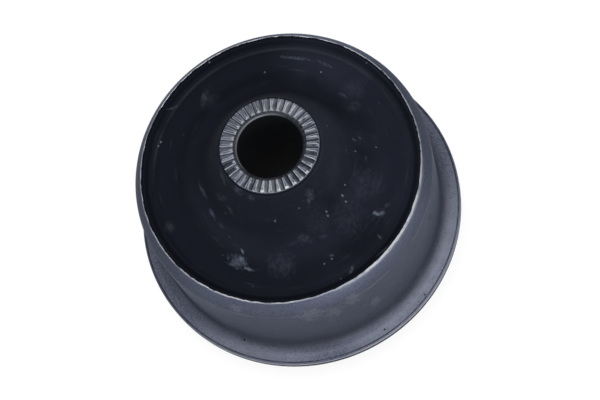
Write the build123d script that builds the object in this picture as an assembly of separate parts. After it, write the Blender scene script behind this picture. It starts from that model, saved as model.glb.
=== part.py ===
from build123d import *

import os
from math import asin, cos, degrees, radians, sin, tan

# Rubber metal bush: a steel can with a flange, a thick steel tube on the same axis,
# and a rubber body bonded between them.
#
# Millimetres. Z = 0 is the lower end face of the inner sleeve, and +Z runs along the
# axis towards the curled end of the can. The bush stands on the inner sleeve.

# Outer sleeve, drawn from sheet
press_diameter = 66.5
sheet = 2.0
can_height = 30.2
nose_radius = 5.8
nose_height = 4.6
rim_round = 0.2
flange_bend = 3.0
flange_land = 1.5
flange_round = 0.5
flange_lower_round = 0.15

# Inner sleeve, turned and coined tube
sleeve_length = 52.0
sleeve_diameter = 21.4
bolt_bore = 14.2
sleeve_above_rim = 12.5
sleeve_edge = 0.35
mouth_chamfer = 0.45
ledge_width = 0.2
ledge_drop = 0.06
serration_count = 37
serration_depth = 0.52
serration_lead = 0.3
groove_mouth = 1.24
groove_floor = 0.24
groove_overshoot = 0.35

# Rubber body, moulded on both sleeves
bare_sleeve_end = 1.2
collar_land = 0.7
collar_land_round = 0.4
collar_slope = 60.0
collar_foot_share = 0.87
face_dish = 0.6
shoulder_round = 2.0
bare_rim = 0.25
lip_cover = 0.5
lip_groove_width = 1.15
lip_groove_depth = 0.5
lip_groove_round = 0.6
lower_face_inset = 0.8
lower_face_dish = 0.5

# Levels and radii that follow from them
rim_level = sleeve_length - sleeve_above_rim
flange_underside = rim_level - can_height
flange_top = flange_underside + sheet
bend_end = flange_top + flange_bend
nose_start = rim_level - nose_height
wall_radius = press_diameter / 2
flange_radius = wall_radius + flange_bend + flange_land
sleeve_radius = sleeve_diameter / 2
bore_radius = bolt_bore / 2
nose_angle = degrees(asin(nose_height / nose_radius))
curl_center = (wall_radius - nose_radius, nose_start)
bend_center = (wall_radius + flange_bend, bend_end)


def on_curl(radius):
    """Point at the cut end of the curled sheet, at this radius from the curl's centre."""
    angle = radians(nose_angle)
    return (curl_center[0] + radius * cos(angle), curl_center[1] + radius * sin(angle))


def turned(outline, *rounds):
    """Solid of revolution about Z of an outline drawn in the XZ plane.

    Each round is ((radius, level), size) and softens the outline's corner at that point.
    """
    section = make_face(outline)
    for corner, size in rounds:
        section = fillet(section.vertices().sort_by_distance(corner)[0], size)
    return revolve(Plane.XZ * section, Axis.Z)


def outer_sleeve():
    """Can with a curled nose, a straight press wall, a bend and a flange."""
    rim_corner = on_curl(nose_radius)
    inner_rim_corner = on_curl(nose_radius - sheet)
    inner_wall = wall_radius - sheet
    with BuildLine() as outline:
        Line((flange_radius, flange_underside), (flange_radius, flange_top))
        Line((flange_radius, flange_top), (bend_center[0], flange_top))
        CenterArc(bend_center, flange_bend, 270, -90)
        Line((wall_radius, bend_end), (wall_radius, nose_start))
        CenterArc(curl_center, nose_radius, 0, nose_angle)
        Line(rim_corner, inner_rim_corner)
        CenterArc(curl_center, nose_radius - sheet, nose_angle, -nose_angle)
        Line((inner_wall, nose_start), (inner_wall, bend_end))
        CenterArc(bend_center, flange_bend + sheet, 180, 90)
        Line((bend_center[0], flange_underside), (flange_radius, flange_underside))
    return turned(
        outline.line,
        (rim_corner, rim_round),
        (inner_rim_corner, rim_round),
        ((flange_radius, flange_top), flange_round),
        ((flange_radius, flange_underside), flange_lower_round),
    )


def tube_end():
    """Inside and upper end face of the tube, from the bore out to the wall."""
    ledge = sleeve_length - serration_depth - ledge_drop
    chamfer_radius = bore_radius + mouth_chamfer
    ledge_radius = chamfer_radius + ledge_width
    return [
        (bore_radius, ledge - mouth_chamfer),
        (chamfer_radius, ledge),
        (ledge_radius, ledge),
        (ledge_radius + serration_lead, sleeve_length),
        (sleeve_radius - sleeve_edge, sleeve_length),
        (sleeve_radius, sleeve_length - sleeve_edge),
    ]


def serration_grooves():
    """Radial V grooves that are coined into the upper end face."""
    start = bore_radius + mouth_chamfer + ledge_width
    reach = sleeve_radius + groove_overshoot - start
    slope = (groove_mouth - groove_floor) / 2 / serration_depth
    top_half = groove_mouth / 2 + slope * groove_overshoot
    corners = [
        (-groove_floor / 2, -serration_depth),
        (groove_floor / 2, -serration_depth),
        (top_half, groove_overshoot),
        (-top_half, groove_overshoot),
    ]
    across = Plane(origin=(start, 0, sleeve_length), x_dir=(0, 1, 0), z_dir=(1, 0, 0))
    groove = extrude(across * make_face(Polyline(*corners, close=True)), reach)
    pitch = 360 / serration_count
    return [Rot(Z=number * pitch) * groove for number in range(serration_count)]


def inner_sleeve():
    """Thick tube with a plain bore and radial serrations on both end faces."""
    upper = tube_end()
    lower = [(radius, sleeve_length - level) for radius, level in reversed(upper)]
    tube = turned(Polyline(*upper, *lower, close=True))
    grooves = serration_grooves()
    middle = Plane.XY.offset(sleeve_length / 2)
    return tube - grooves - [mirror(groove, about=middle) for groove in grooves]


def rubber_body(can):
    """Moulding between the sleeves, with a collar at each end of the inner sleeve."""
    slope = tan(radians(collar_slope))
    land_radius = sleeve_radius + collar_land
    mid_sheet = nose_radius - sheet / 2

    lip = on_curl(nose_radius - bare_rim)
    inner_rim_corner = on_curl(nose_radius - sheet)
    groove = (inner_rim_corner[0] - lip_cover, inner_rim_corner[1])
    shoulder = (groove[0] - lip_groove_width, groove[1] + lip_groove_depth)
    collar_top = sleeve_length - bare_sleeve_end
    foot_level = shoulder[1] - face_dish
    upper_foot = (land_radius + (collar_top - foot_level) / slope, foot_level)
    upper_fillet = collar_foot_share * (shoulder[0] - upper_foot[0])

    lower_edge = (wall_radius - sheet / 2, bend_end + lower_face_inset)
    lower_foot_level = lower_edge[1] + lower_face_dish
    collar_bottom = bare_sleeve_end
    lower_foot = (land_radius + (lower_foot_level - collar_bottom) / slope, lower_foot_level)
    lower_fillet = collar_foot_share * (lower_edge[0] - lower_foot[0])

    with BuildLine() as outline:
        FilletPolyline(
            (sleeve_radius, collar_top),
            (land_radius, collar_top),
            upper_foot,
            shoulder,
            groove,
            lip,
            radius=[collar_land_round, upper_fillet, shoulder_round, lip_groove_round],
        )
        Line(lip, on_curl(mid_sheet))
        CenterArc(curl_center, mid_sheet, nose_angle, -nose_angle)
        Line((wall_radius - sheet / 2, nose_start), lower_edge)
        FilletPolyline(
            lower_edge,
            lower_foot,
            (land_radius, collar_bottom),
            (sleeve_radius, collar_bottom),
            radius=[lower_fillet, collar_land_round],
        )
        Line((sleeve_radius, collar_bottom), (sleeve_radius, collar_top))
    return turned(outline.line) - can


os.makedirs("parts", exist_ok=True)
can = outer_sleeve()
export_step(can, "parts/outer_sleeve.step")
export_step(rubber_body(can), "parts/rubber_body.step")
export_step(inner_sleeve(), "parts/inner_sleeve.step")
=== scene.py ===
import bmesh
import bpy
from math import asin, atan2, ceil, cos, degrees, hypot, pi, radians, sin, tan
from mathutils import Matrix, Vector, noise


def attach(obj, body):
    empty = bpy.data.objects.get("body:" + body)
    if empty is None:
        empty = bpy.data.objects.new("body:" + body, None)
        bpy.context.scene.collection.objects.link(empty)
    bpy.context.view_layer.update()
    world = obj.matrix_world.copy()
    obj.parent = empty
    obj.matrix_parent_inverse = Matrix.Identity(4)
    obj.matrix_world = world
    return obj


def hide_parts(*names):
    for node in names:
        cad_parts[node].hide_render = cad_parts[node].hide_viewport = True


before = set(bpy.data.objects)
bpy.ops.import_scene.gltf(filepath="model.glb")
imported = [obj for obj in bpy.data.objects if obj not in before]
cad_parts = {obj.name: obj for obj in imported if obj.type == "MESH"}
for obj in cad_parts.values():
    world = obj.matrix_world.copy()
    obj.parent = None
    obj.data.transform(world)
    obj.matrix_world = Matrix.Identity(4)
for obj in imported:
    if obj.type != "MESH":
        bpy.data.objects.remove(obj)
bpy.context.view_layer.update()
scene = bpy.context.scene
mm = 0.001


# Outer can: one piece of 2 mm steel sheet, drawn to a straight wall with a flange at
# its lower end and rolled in at its upper end, then coated dark blue-grey. It holds
# the rubber and is pressed into the eye of the arm up to its flange.
def draw_outline(bm, corners, step=1.2, closed=True, turn_step=6):
    """Outline in the XZ plane from corners of radius, level and round, in millimetres.

    No stretch of it is longer than step. A round is made of four stretches or more,
    one for about every turn_step degrees.
    """
    verts = [bm.verts.new((radius * mm, 0, level * mm)) for radius, level, _ in corners]
    for first, second in zip(verts, verts[1:]):
        bm.edges.new((first, second))
    if closed:
        bm.edges.new((verts[-1], verts[0]))
    for vert, (_, _, size) in zip(verts, corners):
        if size == 0:
            continue
        before, after = (edge.other_vert(vert).co - vert.co for edge in vert.link_edges)
        turn = pi - before.angle(after)
        bmesh.ops.bevel(
            bm,
            geom=[vert],
            offset=size * mm * tan(turn / 2),
            offset_type="OFFSET",
            segments=max(4, round(degrees(turn) / turn_step)),
            profile=0.5,
            affect="VERTICES",
            material=-1,
        )
    for edge in list(bm.edges):
        cuts = ceil(edge.calc_length() / mm / step) - 1
        if cuts > 0:
            bmesh.ops.subdivide_edges(bm, edges=[edge], cuts=cuts)


def close_surface(bm):
    """Merges the points that lie on each other and turns the faces outwards."""
    bmesh.ops.remove_doubles(bm, verts=bm.verts, dist=0.0001 * mm)
    bmesh.ops.recalc_face_normals(bm, faces=bm.faces)


def turn_outline(bm, steps):
    """Turns the drawn outline once about the bush's axis."""
    bmesh.ops.spin(
        bm,
        geom=bm.verts[:] + bm.edges[:],
        cent=(0, 0, 0),
        axis=(0, 0, 1),
        angle=2 * pi,
        steps=steps,
        use_merge=True,
    )
    close_surface(bm)


def finish_piece(bm, name, material):
    """Makes the mesh a smooth-shaded object in the scene, with its material."""
    for face in bm.faces:
        face.smooth = True
    mesh = bpy.data.meshes.new(name)
    bm.to_mesh(mesh)
    bm.free()
    mesh.materials.append(material)
    piece = bpy.data.objects.new(name, mesh)
    scene.collection.objects.link(piece)
    return piece


def new_material(name):
    """Material, its nodes and its main shader."""
    material = bpy.data.materials.new(name)
    material.use_nodes = True
    return material, material.node_tree, material.node_tree.nodes["Principled BSDF"]


def link(tree, source, target):
    tree.links.new(source, target)


def node(tree, kind, **settings):
    made = tree.nodes.new(kind)
    for setting, value in settings.items():
        setattr(made, setting, value)
    return made


def math_node(tree, operation, first, second=0.0, clamp=False):
    made = node(tree, "ShaderNodeMath", operation=operation, use_clamp=clamp)
    for socket, value in zip(made.inputs, (first, second)):
        if isinstance(value, (int, float)):
            socket.default_value = value
        else:
            link(tree, value, socket)
    return made.outputs[0]


def times(tree, *values):
    """Product of several masks or numbers."""
    product = values[0]
    for value in values[1:]:
        product = math_node(tree, "MULTIPLY", product, value)
    return product


def either(tree, first, second):
    """Larger of two masks."""
    return math_node(tree, "MAXIMUM", first, second)


def place_on_piece(tree):
    """Object coordinates, and the distance from the axis and the level in millimetres."""
    place = node(tree, "ShaderNodeTexCoord").outputs["Object"]
    parts = node(tree, "ShaderNodeSeparateXYZ")
    link(tree, place, parts.inputs[0])
    flat = node(tree, "ShaderNodeCombineXYZ")
    link(tree, parts.outputs[0], flat.inputs[0])
    link(tree, parts.outputs[1], flat.inputs[1])
    length = node(tree, "ShaderNodeVectorMath", operation="LENGTH")
    link(tree, flat.outputs[0], length.inputs[0])
    radius = times(tree, length.outputs["Value"], 1 / mm)
    level = times(tree, parts.outputs[2], 1 / mm)
    return place, radius, level


def grain(tree, place, scale, detail=3.0, roughness=0.55, stretch=(1, 1, 1)):
    """Noise on the piece's own coordinates, with scale in waves per metre."""
    mapping = node(tree, "ShaderNodeMapping")
    mapping.inputs["Scale"].default_value = stretch
    link(tree, place, mapping.inputs["Vector"])
    made = node(tree, "ShaderNodeTexNoise")
    made.inputs["Scale"].default_value = scale
    made.inputs["Detail"].default_value = detail
    made.inputs["Roughness"].default_value = roughness
    link(tree, mapping.outputs[0], made.inputs["Vector"])
    return made.outputs["Fac"]


def ramp(tree, value, low, high, to_low=0.0, to_high=1.0, smooth=True):
    """Goes from to_low to to_high as the value goes from low to high."""
    made = node(tree, "ShaderNodeMapRange", clamp=True)
    made.interpolation_type = "SMOOTHSTEP" if smooth else "LINEAR"
    for name, number in (
        ("From Min", low),
        ("From Max", high),
        ("To Min", to_low),
        ("To Max", to_high),
    ):
        made.inputs[name].default_value = number
    link(tree, value, made.inputs["Value"])
    return made.outputs["Result"]


def mix_color(tree, amount, first, second):
    """First colour with this amount of the second laid over it."""
    made = node(tree, "ShaderNodeMix", data_type="RGBA")
    amount_socket, first_socket, second_socket = (made.inputs[index] for index in (0, 6, 7))
    link(tree, amount, amount_socket)
    for socket, color in ((first_socket, first), (second_socket, second)):
        if isinstance(color, tuple):
            socket.default_value = (*color, 1.0)
        else:
            link(tree, color, socket)
    return made.outputs[2]


def band(tree, value, low, high, soft):
    """Mask of the values between low and high, with soft sides."""
    return times(
        tree,
        ramp(tree, value, low - soft, low + soft),
        ramp(tree, value, high + soft, high - soft),
    )


def around(azimuth, radius, level):
    """Point of the bush at this azimuth in degrees, with radius and level in mm."""
    turn = radians(azimuth)
    return Vector((radius * cos(turn), radius * sin(turn), level)) * mm


def direction(tree, place):
    """Unit vector from the axis towards the point."""
    flat = node(tree, "ShaderNodeVectorMath", operation="MULTIPLY")
    link(tree, place, flat.inputs[0])
    flat.inputs[1].default_value = (1, 1, 0)
    unit = node(tree, "ShaderNodeVectorMath", operation="NORMALIZE")
    link(tree, flat.outputs[0], unit.inputs[0])
    return unit.outputs[0]


def lean(tree, place, azimuth):
    """Cosine of the angle round the axis between the point and an azimuth in degrees."""
    along = node(tree, "ShaderNodeVectorMath", operation="DOT_PRODUCT")
    link(tree, direction(tree, place), along.inputs[0])
    along.inputs[1].default_value = around(azimuth, 1 / mm, 0)
    return along.outputs["Value"]


def facing(tree, place, azimuth, inside, outside):
    """Mask round an azimuth: full up to the inside angle, gone at the outside one."""
    return ramp(
        tree,
        lean(tree, place, azimuth),
        cos(radians(outside)),
        cos(radians(inside)),
    )


def streaks(tree, place, value, across, along):
    """Noise drawn out round the bush, with waves per mm of the value and round a turn."""
    scaled = node(tree, "ShaderNodeVectorMath", operation="MULTIPLY")
    link(tree, direction(tree, place), scaled.inputs[0])
    scaled.inputs[1].default_value = (along, along, 0)
    rise = node(tree, "ShaderNodeCombineXYZ")
    link(tree, times(tree, value, across), rise.inputs[2])
    both = node(tree, "ShaderNodeVectorMath", operation="ADD")
    link(tree, scaled.outputs[0], both.inputs[0])
    link(tree, rise.outputs[0], both.inputs[1])
    made = node(tree, "ShaderNodeTexNoise")
    made.inputs["Scale"].default_value = 1.0
    made.inputs["Detail"].default_value = 4.0
    link(tree, both.outputs[0], made.inputs["Vector"])
    return made.outputs["Fac"]


def patch(tree, place, start, end, width, torn=None, soft=0.5):
    """Mask of one oval mark that runs from start to end, with a torn edge if given."""
    along = end - start
    offset = node(tree, "ShaderNodeVectorMath", operation="SUBTRACT")
    link(tree, place, offset.inputs[0])
    offset.inputs[1].default_value = (start + end) / 2
    turned = node(tree, "ShaderNodeVectorRotate", rotation_type="Z_AXIS")
    link(tree, offset.outputs[0], turned.inputs["Vector"])
    turned.inputs["Angle"].default_value = -atan2(along.y, along.x)
    sized = node(tree, "ShaderNodeVectorMath", operation="DIVIDE")
    link(tree, turned.outputs[0], sized.inputs[0])
    half_width = width / 2 * mm
    half_length = max(along.length / 2, half_width)
    sized.inputs[1].default_value = (half_length, half_width, half_length + mm)
    reach = node(tree, "ShaderNodeVectorMath", operation="LENGTH")
    link(tree, sized.outputs[0], reach.inputs[0])
    edge = reach.outputs["Value"]
    if torn is not None:
        edge = math_node(tree, "ADD", edge, torn)
    return ramp(tree, edge, 1 + soft / 2, 1 - soft / 2)


def bump(tree, height, strength, distance):
    made = node(tree, "ShaderNodeBump")
    made.inputs["Strength"].default_value = strength
    made.inputs["Distance"].default_value = distance
    link(tree, height, made.inputs["Height"])
    return made.outputs["Normal"]


wall_radius = 33.25
sheet = 2.0
inner_wall = wall_radius - sheet
flange_bend = 3.0
flange_radius = 37.75
flange_top = 11.3
flange_round = 0.5
flange_lower_round = 0.15
nose_radius = 5.8
inner_nose = nose_radius - sheet
nose_height = 4.6
nose_start = 34.9
nose_turn = asin(nose_height / nose_radius)
rim_level = nose_start + nose_height
rim_radius = 30.98
rim_round = 0.2
can_steps = 288
front = -92
right_side = -5
left_side = 175

dark_coat = (0.047, 0.055, 0.084)
light_coat = (0.056, 0.065, 0.099)
drawn_tone = (0.085, 0.095, 0.13)
front_light_tone = (0.069, 0.077, 0.106)
side_shade_tone = (0.03, 0.035, 0.052)
nose_light_tone = (0.104, 0.117, 0.172)
flange_light_tone = (0.092, 0.102, 0.146)
sheen_coat_tone = (0.2, 0.214, 0.272)
weathered_tone = (0.108, 0.115, 0.14)
weather_shadow = (0.042, 0.05, 0.066)
dust_tone = (0.2, 0.212, 0.26)
dust_shadow = (0.03, 0.034, 0.05)
bend_shade_tone = (0.042, 0.042, 0.05)
edge_line_tone = (0.018, 0.021, 0.03)
scuff_tone = (0.19, 0.205, 0.25)
burnish_tone = (0.2, 0.215, 0.26)
pit_tone = (0.012, 0.012, 0.015)
worn_edge_tone = (0.5, 0.52, 0.57)
under_edge_tone = (0.016, 0.02, 0.03)
rim_highlight_tone = (0.36, 0.375, 0.43)
worn_rim_tone = (0.54, 0.56, 0.61)
cut_edge_tone = (0.01, 0.01, 0.012)

# Coat: cloudy, streaked round the wall, weathered at the front, with painted light at the front
# and on the nose and the flange, painted shade at both sides, and a painted highlight on the
# near part of the flange
can_coat, tree, shader = new_material("can_coat")
place, radius, level = place_on_piece(tree)
cloud = grain(tree, place, 60.0, detail=4.0)
speckle = grain(tree, place, 2800.0, detail=2.0)
blotch = grain(tree, place, 260.0, detail=4.0, roughness=0.65)
weather = grain(tree, place, 330.0, detail=5.0, roughness=0.7)
coat = mix_color(tree, ramp(tree, cloud, 0.3, 0.7), dark_coat, light_coat)
drawn = ramp(tree, streaks(tree, place, level, across=1.6, along=5.0), 0.35, 0.68, 0.0, 0.3)
coat = mix_color(tree, drawn, coat, drawn_tone)
# Painted light: the coat is lighter where it faces the front
coat = mix_color(tree, facing(tree, place, front, 15, 62), coat, front_light_tone)
weathered = times(
    tree,
    ramp(tree, weather, 0.5, 0.68, 0.0, 0.5),
    ramp(tree, cloud, 0.4, 0.6, 0.3, 1.0),
    facing(tree, place, front, 40, 80),
)
coat = mix_color(tree, weathered, coat, weathered_tone)
coat = mix_color(tree, ramp(tree, weather, 0.45, 0.3, 0.0, 0.4), coat, weather_shadow)
# Painted light: the rolled end, which faces up, is lighter
lit_nose_share = ramp(tree, level, nose_start - 0.5, nose_start + 4.3, smooth=False)
coat = mix_color(tree, lit_nose_share, coat, nose_light_tone)
# Painted shade: the wall below the rolled end is darker at both sides
shaded_sides = either(
    tree,
    facing(tree, place, right_side, 15, 45),
    facing(tree, place, left_side, 15, 45),
)
side_shade_share = times(tree, shaded_sides, ramp(tree, level, nose_start - 4.9, nose_start - 0.9, 0.0, 0.5))
coat = mix_color(tree, side_shade_share, coat, side_shade_tone)
# Painted light: the flange, which faces up, is lighter
lit_flange_share = ramp(tree, level, flange_top + 2.0, flange_top + 0.2)
coat = mix_color(tree, lit_flange_share, coat, flange_light_tone)
# Painted highlight on the near part of the flange, at two places
sheen_right = facing(tree, place, -55, 8, 50)
sheen_left = times(tree, facing(tree, place, -131, 3, 28), 0.6)
painted_sheen = times(
    tree,
    either(tree, sheen_right, sheen_left),
    ramp(tree, level, flange_top + 1.3, flange_top + 0.2),
    ramp(tree, blotch, 0.3, 0.6, 0.6, 1.0),
)
coat = mix_color(tree, painted_sheen, coat, sheen_coat_tone)

# Dust grain on the coat, thickest on the flange
dusted = times(
    tree,
    ramp(tree, speckle, 0.4, 0.66, 0.0, 0.42),
    ramp(tree, level, flange_top + 1.7, flange_top + 0.1, 0.35, 1.0),
)
coat = mix_color(tree, dusted, coat, dust_tone)
coat = mix_color(tree, ramp(tree, speckle, 0.45, 0.3, 0.0, 0.35), coat, dust_shadow)

# Painted shade in the bend over the flange, and a dark line beside the flange's edge
bend_shade = times(
    tree,
    band(tree, level, flange_top + 0.9, flange_top + 2.5, 0.7),
    ramp(tree, blotch, 0.35, 0.65, 0.15, 0.4),
    ramp(tree, facing(tree, place, -108, 30, 60), 0.0, 1.0, 0.5, 1.0),
)
coat = mix_color(tree, bend_shade, coat, bend_shade_tone)
# A dark line beside the flange's edge
flange_edge_line = times(
    tree,
    band(tree, radius, flange_radius - 0.68, flange_radius - 0.39, 0.1),
    ramp(tree, blotch, 0.3, 0.55, 0.5, 0.95),
    ramp(tree, level, flange_top - 0.4, flange_top - 0.3),
)
coat = mix_color(tree, flange_edge_line, coat, edge_line_tone)

# Scuffs on the wall: azimuth, radius and level of both ends, and width
torn = ramp(tree, grain(tree, place, 1100.0, detail=3.0), 0.3, 0.7, -0.6, 0.6)
for first, second, width in (
    ((-133, 32.6, 37.5), (-129, 32.8, 36.9), 0.9),
    ((-107, 33.2, 34.0), (-99, 33.2, 34.7), 1.0),
    ((-98, 33.2, 31.2), (-92, 33.2, 32.0), 1.6),
    ((-89, 33.2, 33.5), (-84, 33.2, 34.4), 0.9),
    ((-81, 33.2, 24.0), (-77, 33.2, 25.0), 1.4),
):
    scuff = times(
        tree,
        patch(tree, place, around(*first), around(*second), width, torn),
        ramp(tree, speckle, 0.3, 0.6, 0.1, 0.5),
    )
    coat = mix_color(tree, scuff, coat, scuff_tone)

# Burnished line where the rolled end starts
wavering = math_node(tree, "ADD", level, ramp(tree, blotch, 0.3, 0.7, -0.12, 0.12))
burnish = times(
    tree,
    band(tree, wavering, nose_start - 0.15, nose_start + 0.35, 0.14),
    ramp(tree, grain(tree, place, 130.0), 0.4, 0.58, 0.08, 0.6),
)
coat = mix_color(tree, burnish, coat, burnish_tone)

# Pits through the coat: azimuth, radius, level and width
for azimuth, reach, height, width in (
    (-81.2, 36.1, 11.3, 0.5),
    (-135.7, 34.1, 12.2, 0.5),
    (-42.0, 33.25, 28.9, 0.6),
    (-40.6, 33.25, 28.2, 0.5),
    (-62.0, 36.7, 11.3, 0.4),
):
    middle = around(azimuth, reach, height)
    pit = times(
        tree,
        patch(tree, place, middle, middle, width),
        ramp(tree, speckle, 0.2, 0.4, 0.7, 0.9),
    )
    coat = mix_color(tree, pit, coat, pit_tone)

# Flange's edge: worn bright at its upper corner, and dark below that
edge_wear = times(
    tree,
    band(tree, level, flange_top - 0.56, flange_top - 0.25, 0.1),
    ramp(tree, radius, flange_radius - 0.2, flange_radius - 0.13),
    ramp(tree, blotch, 0.3, 0.5, 0.6, 1.0),
)
coat = mix_color(tree, edge_wear, coat, worn_edge_tone)
under_edge = times(
    tree,
    ramp(tree, level, flange_top - 0.62, flange_top - 0.8),
    ramp(tree, radius, flange_radius - 0.15, flange_radius - 0.05),
)
coat = mix_color(tree, under_edge, coat, under_edge_tone)

# Rim of the rolled end: worn bright, widest at one side, where a painted highlight also lies on
# the nose beside it, and with a dark line at the rubber
rim_noise = grain(tree, place, 520.0, detail=3.0)
rim_reach = math_node(tree, "ADD", radius, ramp(tree, rim_noise, 0.3, 0.7, -0.08, 0.08))
at_rim = ramp(tree, level, rim_level - 0.9, rim_level - 0.6)
# Painted highlight on the nose beside the rim, at one side
highlight_side = facing(tree, place, -58, 8, 40)
rim_highlight = times(
    tree,
    highlight_side,
    ramp(tree, rim_reach, rim_radius + 1.02, rim_radius + 0.12),
    at_rim,
    ramp(tree, blotch, 0.3, 0.6, 0.25, 0.7),
)
coat = mix_color(tree, rim_highlight, coat, rim_highlight_tone)
outer_reach = math_node(tree, "SUBTRACT", rim_reach, times(tree, highlight_side, 0.2))
rim_wear = times(
    tree,
    ramp(tree, rim_reach, rim_radius, rim_radius + 0.06),
    ramp(tree, outer_reach, rim_radius + 0.34, rim_radius + 0.2),
    ramp(tree, rim_noise, 0.32, 0.52, 0.4, 1.0),
    ramp(tree, shaded_sides, 0.0, 1.0, 1.0, 0.6),
    ramp(tree, facing(tree, place, front, 4, 20), 0.0, 1.0, 1.0, 0.5),
    at_rim,
)
coat = mix_color(tree, rim_wear, coat, worn_rim_tone)
rim_edge = times(tree, ramp(tree, rim_reach, rim_radius + 0.04, rim_radius - 0.02), at_rim)
coat = mix_color(tree, rim_edge, coat, cut_edge_tone)
link(tree, coat, shader.inputs["Base Color"])
shader.inputs["Metallic"].default_value = 0.4
shader.inputs["Specular IOR Level"].default_value = 0.1
shader.inputs["Specular Tint"].default_value = (0.4, 0.47, 0.62, 1)
link(tree, ramp(tree, cloud, 0.3, 0.7, 0.48, 0.56), shader.inputs["Roughness"])
link(tree, bump(tree, speckle, 0.12, 0.04 * mm), shader.inputs["Normal"])


def on_curl(curl_radius):
    """Corner of the rolled end at this radius from the curl's centre, in mm."""
    return (
        wall_radius - nose_radius + curl_radius * cos(nose_turn),
        nose_start + curl_radius * sin(nose_turn),
    )


bent = nose_turn - rim_round / nose_radius
inner_bent = nose_turn - rim_round / inner_nose
can = bmesh.new()
draw_outline(can, (
    (flange_radius, flange_top - sheet, flange_lower_round),
    (flange_radius, flange_top, flange_round),
    (wall_radius, flange_top, flange_bend),
    (wall_radius, nose_start + nose_radius * tan(bent / 2), nose_radius),
    (*on_curl(nose_radius), rim_round),
    (*on_curl(inner_nose), rim_round),
    (inner_wall, nose_start + inner_nose * tan(inner_bent / 2), inner_nose),
    (inner_wall, flange_top - sheet, flange_bend + sheet),
))
turn_outline(can, can_steps)
can_piece = finish_piece(can, "can", can_coat)
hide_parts("outer_sleeve")
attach(can_piece, "root")


# Rubber body: black rubber, moulded and bonded between the two sleeves. Its upper face
# is a shallow dish with a cone that climbs the inner sleeve, and a thin lip of it
# runs over the cut end of the can.
sleeve_radius = 10.7
sleeve_length = 52.0
bare_sleeve_end = 1.2
collar_land = 0.7
collar_land_round = 0.4
collar_slope = tan(radians(60))
collar_foot_share = 0.87
face_dish = 0.6
shoulder_round = 2.6
bare_rim = 0.25
lip_cover = 0.5
lip_groove_width = 1.15
lip_groove_depth = 0.5
lip_groove_round = 0.9
lower_face_inset = 0.8
lower_face_dish = 0.5
curl_slack = 0.1
rubber_steps = 256

dark_rubber = (0.0078, 0.0088, 0.0142)
light_rubber = (0.0115, 0.013, 0.021)
dish_shade_tone = (0.003, 0.0035, 0.0055)
lip_shade_tone = (0.004, 0.004, 0.0055)
haze_tone = (0.05, 0.056, 0.085)
arc_tone = (0.045, 0.05, 0.07)
ridge_highlight_tone = (0.05, 0.053, 0.068)
speck_tone = (0.16, 0.165, 0.19)
mark_tone = (0.1, 0.114, 0.152)
grain_tone = (0.2, 0.21, 0.24)

# Rubber: faintly cloudy, with painted shade in the dish but for its right side, and in the
# groove at the lip
rubber_finish, tree, shader = new_material("bonded_rubber")
place, radius, level = place_on_piece(tree)
cloud = grain(tree, place, 45.0, detail=5.0)
black = mix_color(tree, ramp(tree, cloud, 0.3, 0.7), dark_rubber, light_rubber)
# Painted shade in the dish, but for its right side
dish_shade = times(
    tree,
    ramp(tree, radius, 19.5, 23.0),
    ramp(tree, facing(tree, place, 5, 30, 80), 0.0, 1.0, 0.7, 0.0),
)
black = mix_color(tree, dish_shade, black, dish_shade_tone)
# Painted shade in the groove at the lip
black = mix_color(tree, ramp(tree, radius, 28.9, 29.6, 0.0, 0.2), black, lip_shade_tone)

# Bloom and dust on the upper face: haze on one half, rubbed arcs and fine specks, and a painted
# highlight along the ridge on the far side
top_face = ramp(tree, level, 37.4, 37.7)
haze = times(
    tree,
    facing(tree, place, -15, 10, 95),
    ramp(tree, cloud, 0.42, 0.62),
    top_face,
    ramp(tree, radius, 29.5, 28.0, 0.0, 0.22),
)
black = mix_color(tree, haze, black, haze_tone)
arcs = ramp(tree, streaks(tree, place, radius, across=1.1, along=3.0), 0.6, 0.78, 0.0, 0.28)
black = mix_color(tree, times(tree, arcs, top_face), black, arc_tone)
# Painted highlight along the ridge on the far side
ridge_highlight = times(
    tree,
    band(tree, radius, 28.2, 28.8, 0.45),
    facing(tree, place, 75, 60, 115),
    ramp(tree, cloud, 0.35, 0.55, 0.15, 0.5),
)
black = mix_color(tree, ridge_highlight, black, ridge_highlight_tone)
dots = node(tree, "ShaderNodeTexVoronoi", feature="F1")
dots.inputs["Scale"].default_value = 620.0
link(tree, place, dots.inputs["Vector"])
dot_share = math_node(tree, "SUBTRACT", 1.0, dots.outputs["Distance"])
dot_chance = node(tree, "ShaderNodeSeparateXYZ")
link(tree, dots.outputs["Color"], dot_chance.inputs[0])
specks = times(
    tree,
    ramp(tree, dot_share, 0.8, 0.9),
    ramp(tree, dot_chance.outputs[0], 0.86, 1.0, 0.0, 0.75),
    ramp(tree, grain(tree, place, 90.0), 0.45, 0.62),
    top_face,
)
black = mix_color(tree, specks, black, speck_tone)

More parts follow.
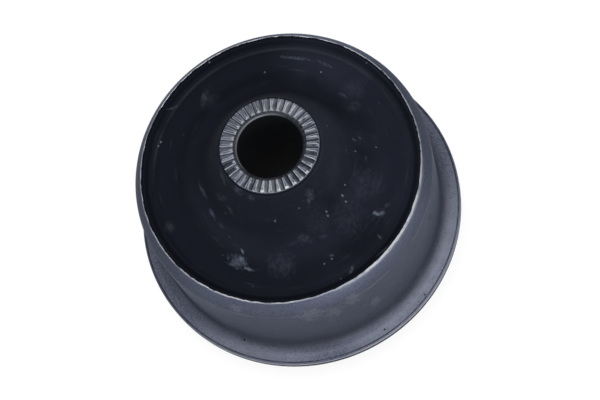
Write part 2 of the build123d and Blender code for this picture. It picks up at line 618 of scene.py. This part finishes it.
# Marks that handling left: azimuth, radius and level of both ends, width and strength
torn = ramp(tree, grain(tree, place, 1000.0, detail=4.0), 0.3, 0.7, -0.4, 0.4)
fibres = grain(tree, place, 1900.0, detail=4.0, stretch=(1.0, 0.45, 1.0))
ragged = ramp(tree, fibres, 0.3, 0.66, 0.12, 1.0)
mark_spread = 1.3
marks = None
for first, second, width, strength in (
    ((-141.5, 22.9, 38.0), (-133.5, 23.4, 38.1), 1.7, 0.7),
    ((-137.5, 21.8, 38.0), (-132.2, 23.3, 38.1), 0.7, 1.1),
    ((-132.6, 23.8, 38.1), (-128.2, 24.0, 38.1), 0.35, 1.1),
    ((-138.0, 20.3, 37.9), (-135.8, 21.1, 37.9), 0.35, 2.0),
    ((-118.6, 21.9, 38.0), (-107.0, 23.3, 38.1), 3.4, 0.16),
    ((-191.0, 17.8, 39.7), (-179.0, 17.3, 40.6), 0.45, 0.42),
    ((-171.5, 17.9, 39.6), (-164.5, 18.1, 39.1), 0.6, 0.5),
    ((-160.0, 18.3, 38.9), (-155.0, 18.4, 38.8), 0.5, 0.25),
    ((-170.0, 14.9, 44.7), (-161.2, 14.2, 46.0), 0.8, 0.22),
    ((-157.7, 14.7, 45.1), (-150.2, 15.5, 43.7), 0.5, 0.25),
    ((-176.0, 28.3, 38.4), (-177.7, 26.6, 38.3), 1.4, 0.22),
    ((-180.0, 11.6, 50.5), (-169.0, 12.1, 49.6), 0.5, 0.5),
    ((-155.5, 11.6, 50.5), (-144.7, 11.6, 50.5), 0.7, 0.35),
    ((-137.0, 11.6, 50.5), (-132.0, 11.9, 49.9), 0.5, 0.35),
    ((-73.0, 12.8, 48.4), (-78.0, 13.3, 47.5), 1.1, 0.45),
    ((-78.0, 13.3, 47.5), (-80.5, 14.0, 46.4), 0.5, 0.45),
    ((-54.0, 23.5, 38.1), (-51.7, 25.5, 38.2), 0.6, 1.7),
    ((-53.5, 24.2, 38.1), (-50.5, 25.2, 38.2), 1.3, 0.25),
    ((-65.5, 18.4, 38.8), (-61.0, 20.0, 37.9), 5.2, 0.1),
    ((-44.0, 18.5, 38.5), (-36.0, 21.0, 37.9), 4.6, 0.1),
    ((-84.0, 15.5, 43.7), (-78.0, 17.5, 40.3), 4.0, 0.09),
    ((-87.0, 18.8, 38.0), (-83.0, 19.6, 37.9), 0.8, 0.35),
    ((-99.5, 17.9, 39.5), (-92.5, 18.5, 38.5), 1.2, 0.25),
    ((-86.5, 23.5, 38.1), (-84.5, 23.7, 38.1), 0.35, 0.7),
    ((-61.9, 27.0, 38.3), (-62.8, 28.4, 38.4), 0.35, 0.55),
    ((-69.0, 30.0, 38.5), (-64.0, 30.5, 38.6), 0.35, 0.6),
    ((-79.5, 28.2, 38.4), (-82.5, 29.1, 38.5), 0.4, 0.5),
    ((-48.0, 25.0, 38.2), (-46.0, 25.9, 38.3), 0.6, 0.22),
    ((-235.5, 29.7, 38.5), (-238.5, 28.4, 38.4), 0.4, 0.5),
    ((-254.0, 25.9, 38.3), (-246.0, 23.9, 38.1), 1.0, 0.25),
    ((-252.0, 24.6, 38.2), (-250.0, 22.0, 38.0), 2.6, 0.1),
    ((64.8, 26.5, 38.3), (51.8, 26.2, 38.3), 0.5, 0.45),
    ((47.0, 26.3, 38.3), (39.0, 25.9, 38.3), 0.5, 0.22),
    ((27.0, 21.4, 38.0), (22.3, 21.6, 38.0), 0.6, 0.32),
    ((15.5, 20.3, 37.9), (13.5, 21.9, 38.0), 1.9, 0.16),
    ((24.0, 25.5, 38.2), (21.0, 24.2, 38.1), 3.2, 0.08),
    ((-8.5, 17.1, 40.9), (-9.8, 17.5, 40.2), 0.35, 0.7),
    ((-7.0, 18.4, 38.8), (-8.4, 18.7, 38.2), 0.35, 0.6),
    ((-20.5, 19.2, 37.9), (-24.5, 18.9, 37.9), 0.5, 0.5),
    ((-29.5, 19.7, 37.9), (-32.5, 19.9, 37.9), 0.8, 0.35),
):
    mark = patch(
        tree, place, around(*first), around(*second), width * mark_spread, torn, soft=1.5
    )
    mark = times(tree, mark, strength)
    marks = mark if marks is None else either(tree, marks, mark)
marks = math_node(tree, "MULTIPLY", marks, ragged, clamp=True)
black = mix_color(tree, marks, black, mark_tone)

# Single grains of dust: azimuth, radius, level and width
grain_spread = 0.8
grain_strength = 0.6
grains = None
for azimuth, reach, height, width in (
    (-131.7, 18.5, 38.5, 0.5),
    (-127.2, 18.9, 37.9, 0.6),
    (-113.0, 18.5, 38.4, 0.45),
    (-113.2, 14.7, 45.1, 0.4),
    (-55.2, 16.6, 41.8, 0.6),
    (-57.0, 17.6, 40.1, 0.55),
    (-53.0, 19.1, 37.9, 0.5),
    (-72.5, 16.3, 42.4, 0.45),
    (-73.5, 16.9, 41.4, 0.45),
    (-86.2, 24.3, 38.2, 0.45),
    (-90.7, 24.5, 38.2, 0.4),
    (-47.5, 16.2, 42.5, 0.4),
    (-262.2, 30.6, 38.6, 0.5),
    (-219.7, 28.0, 38.4, 0.6),
    (-217.7, 28.3, 38.4, 0.5),
    (74.8, 23.3, 38.1, 0.45),
    (43.5, 24.0, 38.1, 0.5),
    (-11.0, 18.5, 38.5, 0.4),
    (-18.5, 17.1, 40.9, 0.4),
    (-15.0, 21.5, 38.0, 0.4),
):
    middle = around(azimuth, reach, height)
    one = patch(tree, place, middle, middle, width * grain_spread)
    grains = one if grains is None else either(tree, grains, one)
black = mix_color(tree, times(tree, grains, grain_strength), black, grain_tone)
link(tree, black, shader.inputs["Base Color"])
link(tree, ramp(tree, cloud, 0.3, 0.7, 0.58, 0.68), shader.inputs["Roughness"])
shader.inputs["Specular IOR Level"].default_value = 0.1
shader.inputs["Specular Tint"].default_value = (0.55, 0.66, 1.0, 1)
skin = grain(tree, place, 900.0, detail=3.0)
link(tree, bump(tree, skin, 0.15, 0.05 * mm), shader.inputs["Normal"])

# Corners that follow from the sizes: the collar, the lip, the dish and the lower face
collar_radius = sleeve_radius + collar_land
collar_top = sleeve_length - bare_sleeve_end
lip = on_curl(nose_radius - bare_rim)
rim_inside = on_curl(inner_nose)
lip_foot = (rim_inside[0] - lip_cover, rim_inside[1])
shoulder = (lip_foot[0] - lip_groove_width, lip_foot[1] + lip_groove_depth)
foot_level = shoulder[1] - face_dish
foot_radius = collar_radius + (collar_top - foot_level) / collar_slope
upper_fillet = collar_foot_share * (shoulder[0] - foot_radius)
lower_edge = (inner_wall, flange_top + flange_bend + lower_face_inset)
lower_level = lower_edge[1] + lower_face_dish
lower_radius = collar_radius + (lower_level - bare_sleeve_end) / collar_slope
lower_fillet = collar_foot_share * (inner_wall + sheet / 2 - lower_radius)

rubber = bmesh.new()
draw_outline(rubber, (
    (sleeve_radius, collar_top, 0),
    (collar_radius, collar_top, collar_land_round),
    (foot_radius, foot_level, upper_fillet),
    (*shoulder, shoulder_round),
    (*lip_foot, lip_groove_round),
    (*lip, 0),
    (*rim_inside, 0),
    (inner_wall, nose_start + inner_nose * tan(nose_turn / 2), inner_nose - curl_slack),
    (*lower_edge, 0),
    (lower_radius, lower_level, lower_fillet),
    (collar_radius, bare_sleeve_end, collar_land_round),
    (sleeve_radius, bare_sleeve_end, 0),
))
turn_outline(rubber, rubber_steps)
rubber_piece = finish_piece(rubber, "rubber", rubber_finish)
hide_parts("rubber_body")
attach(rubber_piece, "root")


# Inner sleeve: a thick steel tube, turned, with radial serrations coined into both end
# faces so that they bite into the bracket. Dark phosphated, with the crests rubbed bright and
# painted light and shade on the teeth.
half_length = sleeve_length / 2
bore_radius = 7.1
mouth_chamfer = 0.45
ledge_width = 0.2
serration_depth = 0.52
ledge_drop = 0.06
serration_lead = 0.3
sleeve_edge = 0.35
mouth_round = 0.1
ledge_round = 0.05
crest_end_round = 0.1
crest_edge_round = 0.15
wall_edge_round = 0.2
teeth = 37
half_pitch = pi / teeth
ledge_start = bore_radius + mouth_chamfer
crest_start = ledge_start + ledge_width + serration_lead
ledge_level = sleeve_length - serration_depth - ledge_drop

dark_steel = (0.054, 0.062, 0.086)
light_steel = (0.135, 0.15, 0.2)
pore_tone = (0.022, 0.024, 0.03)
fleck_tone = (0.24, 0.25, 0.28)
sheen_steel_tone = (0.26, 0.27, 0.31)
lit_flank_tone = (0.3, 0.32, 0.37)
groove_shade_tone = (0.01, 0.011, 0.014)
edge_wear_highlight_tone = (0.5, 0.52, 0.57)
outline_tone = (0.55, 0.58, 0.68)
hollow_tone = (0.06, 0.068, 0.088)
oil_tone = (0.012, 0.016, 0.018)
throat_shade_tone = (0.02, 0.022, 0.027)
lead_highlight_tone = (0.45, 0.47, 0.52)
tip_glint_tone = (0.75, 0.77, 0.8)
chamfer_tone = (0.19, 0.2, 0.23)
wall_tone = (0.014, 0.015, 0.019)
near_edge_light_tone = (0.26, 0.265, 0.34)
bore_shade_tone = (0.003, 0.0035, 0.0032)

# Where a point lies in its tooth: wide is its distance from the groove's middle in mm,
# and shaded is full on the flanks that are turned from the light. A flank faces round
# the turn, so the light is tested a quarter turn on from its own azimuth.
sleeve_finish, tree, shader = new_material("phosphated_steel")
place, radius, level = place_on_piece(tree)
parts = node(tree, "ShaderNodeSeparateXYZ")
link(tree, place, parts.inputs[0])
azimuth = math_node(tree, "ARCTAN2", parts.outputs[1], parts.outputs[0])
count = times(tree, azimuth, teeth / (2 * pi))
nearest = math_node(tree, "ROUND", count)
from_groove = math_node(tree, "SUBTRACT", count, nearest)
offset = times(tree, from_groove, 2 * half_pitch, radius)
wide = math_node(tree, "ABSOLUTE", offset)
light_azimuth = -37
towards_light = lean(tree, place, light_azimuth + 90)
flank_light = times(tree, towards_light, math_node(tree, "SIGN", offset))
shaded = ramp(tree, flank_light, 0.25, -0.35)
from_middle = math_node(tree, "ABSOLUTE", math_node(tree, "SUBTRACT", level, half_length))
depth = math_node(tree, "SUBTRACT", half_length, from_middle)

# Steel: scored along each tooth, mottled and flecked, with a painted sheen at two places
cloud = grain(tree, place, 700.0, detail=4.0)
mottle = grain(tree, place, 2600.0, detail=3.0)
waves_across = 3.2
waves_along = 0.8
tooth_shift = 7.3
cuts = node(tree, "ShaderNodeCombineXYZ")
link(tree, times(tree, offset, waves_across), cuts.inputs[0])
link(tree, times(tree, radius, waves_along), cuts.inputs[1])
link(tree, times(tree, nearest, tooth_shift), cuts.inputs[2])
score_noise = node(tree, "ShaderNodeTexNoise")
score_noise.inputs["Scale"].default_value = 1.0
score_noise.inputs["Detail"].default_value = 3.0
link(tree, cuts.outputs[0], score_noise.inputs["Vector"])
scored = score_noise.outputs["Fac"]
steel = mix_color(tree, ramp(tree, scored, 0.36, 0.62), dark_steel, light_steel)
steel = mix_color(tree, ramp(tree, mottle, 0.38, 0.62, 0.0, 0.55), steel, pore_tone)
steel = mix_color(tree, ramp(tree, mottle, 0.58, 0.7, 0.0, 0.5), steel, fleck_tone)
# Painted sheen at two places round the end face
painted_sheen = times(
    tree,
    either(tree, facing(tree, place, -112, 8, 20), facing(tree, place, 50, 12, 38)),
    ramp(tree, cloud, 0.3, 0.6, 0.25, 0.85),
)
steel = mix_color(tree, painted_sheen, steel, sheen_steel_tone)

# Grooves: painted shade on the floor and on the flank turned from the light, painted light on
# the other flank, and the edges worn bright with a painted highlight
lit_flank = times(
    tree,
    band(tree, wide, 0.16, 0.52, 0.06),
    ramp(tree, shaded, 1.0, 0.0),
    ramp(tree, scored, 0.36, 0.6, 0.1, 0.95),
)
steel = mix_color(tree, lit_flank, steel, lit_flank_tone)
groove_floor_shade = ramp(tree, wide, 0.18, 0.08, 0.0, 0.6)
flank_shade = times(tree, band(tree, wide, 0.2, 0.38, 0.06), shaded)
groove_shade = times(
    tree,
    either(tree, groove_floor_shade, flank_shade),
    ramp(tree, radius, crest_start - 0.15, crest_start + 0.05, 0.0, 0.95),
)
steel = mix_color(tree, groove_shade, steel, groove_shade_tone)
edge_wear_and_highlight = times(
    tree,
    band(tree, wide, 0.52, 0.64, 0.04),
    ramp(tree, shaded, 0.0, 1.0, 0.6, 1.0),
    ramp(tree, cloud, 0.32, 0.5, 0.45, 1.0),
    ramp(tree, radius, crest_start - 0.05, crest_start + 0.05),
)
steel = mix_color(tree, edge_wear_and_highlight, steel, edge_wear_highlight_tone)

# Teeth of the left side: a bright outline round a dark crest, and an oily spot
outlined = facing(tree, place, 145, 45, 75)
outline = times(
    tree,
    outlined,
    band(tree, wide, 0.19, 0.33, 0.04),
    ramp(tree, radius, crest_start - 0.05, crest_start + 0.05, 0.0, 0.85),
)
steel = mix_color(tree, outline, steel, outline_tone)
on_crest = ramp(tree, wide, 0.33, 0.4)
hollow = times(
    tree,
    outlined,
    on_crest,
    ramp(tree, radius, crest_start + 0.25, crest_start + 0.55, 0.0, 0.5),
)
steel = mix_color(tree, hollow, steel, hollow_tone)
oily = times(
    tree,
    facing(tree, place, -175, 8, 11),
    ramp(tree, radius, crest_start + 0.35, crest_start + 0.75),
    on_crest,
    0.88,
)
steel = mix_color(tree, oily, steel, oil_tone)

# Teeth's ends: painted shade at the bore, painted highlights on the leads on the far side,
# painted glints on the tips on the near side
# Painted shade inside the teeth's ends
throat_shade = ramp(tree, radius, crest_start - 0.03, crest_start - 0.13)
steel = mix_color(tree, times(tree, throat_shade, 0.9), steel, throat_shade_tone)
# Painted highlight on the teeth's inner ends on the far side
lead_highlight = times(
    tree,
    band(tree, radius, crest_start - 0.19, crest_start + 0.05, 0.05),
    ramp(tree, wide, 0.2, 0.3),
    facing(tree, place, 110, 60, 110),
)
steel = mix_color(tree, lead_highlight, steel, lead_highlight_tone)
# Painted glints on the teeth's outer ends on the near side
tip_glints = times(
    tree,
    ramp(tree, radius, sleeve_radius - 0.5, sleeve_radius - 0.3),
    ramp(tree, wide, 0.5, 0.6),
    ramp(tree, cloud, 0.42, 0.6),
    facing(tree, place, -95, 45, 70),
)
steel = mix_color(tree, tip_glints, steel, tip_glint_tone)

# Chamfer of the mouth, the dark outer wall with painted light on its near edge, and the bore
# painted near black as shade
chamfer = times(
    tree,
    band(tree, radius, bore_radius + 0.04, bore_radius + 0.32, 0.05),
    facing(tree, place, 122, 60, 90),
)
steel = mix_color(tree, chamfer, steel, chamfer_tone)
outer_wall = times(
    tree,
    ramp(tree, radius, sleeve_radius - 0.12, sleeve_radius - 0.06),
    ramp(tree, depth, 0.36, 0.5),
)
steel = mix_color(tree, outer_wall, steel, wall_tone)
# Painted light on the wall's near edge
near_edge_light = times(
    tree,
    ramp(tree, radius, sleeve_radius - 0.15, sleeve_radius - 0.08),
    ramp(tree, depth, 1.0, 0.5, 0.25, 1.0),
    facing(tree, place, -70, 60, 100),
    0.7,
)
steel = mix_color(tree, near_edge_light, steel, near_edge_light_tone)
# Painted shade: the bore is painted near black
in_bore = ramp(tree, radius, bore_radius + 0.06, bore_radius - 0.02)
steel = mix_color(tree, in_bore, steel, bore_shade_tone)
link(tree, steel, shader.inputs["Base Color"])
link(tree, ramp(tree, in_bore, 0.0, 1.0, 0.5, 0.0), shader.inputs["Metallic"])
shader.inputs["Specular IOR Level"].default_value = 0.2
shader.inputs["Specular Tint"].default_value = (0.72, 0.82, 1.0, 1)
worn = ramp(tree, cloud, 0.3, 0.7, 0.4, 0.55)
link(tree, either(tree, worn, in_bore), shader.inputs["Roughness"])
link(tree, bump(tree, mottle, 0.25, 0.03 * mm), shader.inputs["Normal"])

# Columns of points from a groove's middle to the next crest's middle: distances in mm
# up the groove's side, then shares of the crest that is left
across_groove = (0.0, 0.07, 0.14, 0.22, 0.32, 0.42, 0.5, 0.56, 0.63)
across_crest = (0.25, 0.5, 0.75, 1.0)
half_steps = len(across_groove) + len(across_crest) - 1
groove_half_width = 0.505
groove_slope = 1.35
groove_round = 0.1
crest_round = 0.16
chatter_waves = 1.7
chatter_height = 0.05
plain_end = 1.8


def soft_low(first, second, blend):
    """Lower of two numbers, with the corner between them rounded."""
    near = max(blend - abs(first - second), 0) / blend
    return min(first, second) - near * near * blend / 4


def flank_level(distance):
    """Level of a serration's flank at this distance from its groove's middle."""
    fall = (groove_half_width - distance) * groove_slope
    return sleeve_length - soft_low(fall, serration_depth, groove_round)


def column_distance(column, half_width):
    """Distance of a column from its groove's middle, in a tooth of this half width.

    Beside the bore a tooth is narrower than its columns, which are squeezed there.
    """
    squeezed = half_width * (0.9 + 0.01 * column)
    last_squeezed = half_width * 0.985
    if column < len(across_groove):
        return min(across_groove[column], squeezed)
    groove_side = min(across_groove[-1], last_squeezed)
    share = across_crest[column - len(across_groove)]
    return groove_side + (half_width - groove_side) * share


sleeve = bmesh.new()
draw_outline(sleeve, (
    (bore_radius, sleeve_length - plain_end, 0),
    (bore_radius, ledge_level - mouth_chamfer, mouth_round),
    (ledge_start, ledge_level, mouth_round),
    (ledge_start + ledge_width, ledge_level, ledge_round),
    (crest_start, sleeve_length, crest_end_round),
    (sleeve_radius - sleeve_edge, sleeve_length, crest_edge_round),
    (sleeve_radius, sleeve_length - sleeve_edge, wall_edge_round),
    (sleeve_radius, sleeve_length - plain_end, 0),
), step=0.4, closed=False, turn_step=11)
turn_outline(sleeve, teeth * half_steps * 2)

# Each point moves round to its column, and those of the end face down to the flanks
for vert in sleeve.verts:
    x, y, z = vert.co / mm
    reach = hypot(x, y)
    turn = atan2(y, x)
    tooth = round(turn / (2 * half_pitch))
    turn_in_tooth = turn - tooth * 2 * half_pitch
    column = round(abs(turn_in_tooth) / half_pitch * half_steps)
    side = 1 if turn_in_tooth > 0 else -1
    distance = column_distance(column, reach * sin(half_pitch))
    angle = tooth * 2 * half_pitch + side * asin(min(distance / reach, sin(half_pitch)))
    x, y = reach * cos(angle), reach * sin(angle)
    if z > ledge_level - 0.02:
        chatter = noise.noise(Vector((x, y, 0)) * chatter_waves) * chatter_height
        z = soft_low(z, flank_level(distance) + chatter, crest_round)
    vert.co = Vector((x, y, z)) * mm

# The walls run down to the middle, and the lower half is the upper one mirrored
rims = [edge for edge in sleeve.edges if edge.is_boundary]
walls = bmesh.ops.extrude_edge_only(sleeve, edges=rims)["geom"]
for item in walls:
    if isinstance(item, bmesh.types.BMVert):
        item.co.z = half_length * mm
whole = sleeve.verts[:] + sleeve.edges[:] + sleeve.faces[:]
middle = Matrix.Translation((0, 0, -half_length * mm))
bmesh.ops.mirror(sleeve, geom=whole, matrix=middle, axis="Z")
close_surface(sleeve)
sleeve_piece = finish_piece(sleeve, "bolt_sleeve", sleeve_finish)
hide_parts("inner_sleeve")
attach(sleeve_piece, "root")


# Floor: a white sheet under the bush, with soft boxes above it, in front and at its sides.
# It glows for the camera and for shiny surfaces, and throws little light on dull ones.
floor_shade = (0.14, 0.14, 0.14)
floor_glow = 0.89
floor_reach = 3.0
floor_paint, tree, shader = new_material("pale_floor")
shader.inputs["Base Color"].default_value = (*floor_shade, 1)
shader.inputs["Roughness"].default_value = 0.9
rays = node(tree, "ShaderNodeLightPath")
seen = either(tree, rays.outputs["Is Camera Ray"], rays.outputs["Is Glossy Ray"])
seen = either(tree, seen, rays.outputs["Is Transmission Ray"])
glow = node(tree, "ShaderNodeEmission")
link(tree, times(tree, seen, floor_glow), glow.inputs["Strength"])
both = node(tree, "ShaderNodeAddShader")
link(tree, shader.outputs[0], both.inputs[0])
link(tree, glow.outputs[0], both.inputs[1])
link(tree, both.outputs[0], tree.nodes["Material Output"].inputs["Surface"])
floor_mesh = bmesh.new()
bmesh.ops.create_grid(floor_mesh, x_segments=1, y_segments=1, size=floor_reach)
floor = finish_piece(floor_mesh, "floor", floor_paint)

# Square soft boxes that face the bush: azimuth, elevation and power
box_distance = 0.9
box_side = 0.5
box_target = Vector((0, 0, 0.035))
for name, azimuth, elevation, power in (
    ("top_softbox", 0, 89, 5.2),
    ("right_softbox", -30, 60, 1.5),
    ("left_softbox", -150, 60, 1.0),
    ("front_softbox", -90, 12, 2.3),
    ("side_softbox", -45, 12, 0.8),
    ("low_left_softbox", 180, 12, 0.8),
):
    lamp = bpy.data.lights.new(name, "AREA")
    lamp.shape = "SQUARE"
    lamp.size = box_side
    lamp.energy = power
    outwards = Vector((
        cos(radians(elevation)) * cos(radians(azimuth)),
        cos(radians(elevation)) * sin(radians(azimuth)),
        sin(radians(elevation)),
    ))
    box = bpy.data.objects.new(name, lamp)
    box.location = outwards * box_distance + box_target
    box.rotation_euler = outwards.to_track_quat("Z", "Y").to_euler()
    scene.collection.objects.link(box)

world = bpy.data.worlds.new("studio")
scene.world = world
world.use_nodes = True
surroundings = world.node_tree.nodes["Background"]
surroundings.inputs["Color"].default_value = (1.0, 1.0, 1.0, 1)
surroundings.inputs["Strength"].default_value = 0.1

# Camera: a long lens that looks steeply down on the bush from its front
image_width = 600
half_pixel = 0.5 / image_width
camera_data = bpy.data.cameras.new("camera")
camera_data.lens = 96.0
camera_data.sensor_width = 36.0
camera_data.clip_start = 0.01
camera_data.shift_x = -half_pixel
camera_data.shift_y = half_pixel
camera = bpy.data.objects.new("camera", camera_data)
camera.location = (0.000937, -0.135539, 0.361299)
camera.rotation_euler = (radians(19.4481), radians(9.0438), radians(-23.9971))
scene.collection.objects.link(camera)
scene.camera = camera
scene.view_settings.view_transform = "Standard"
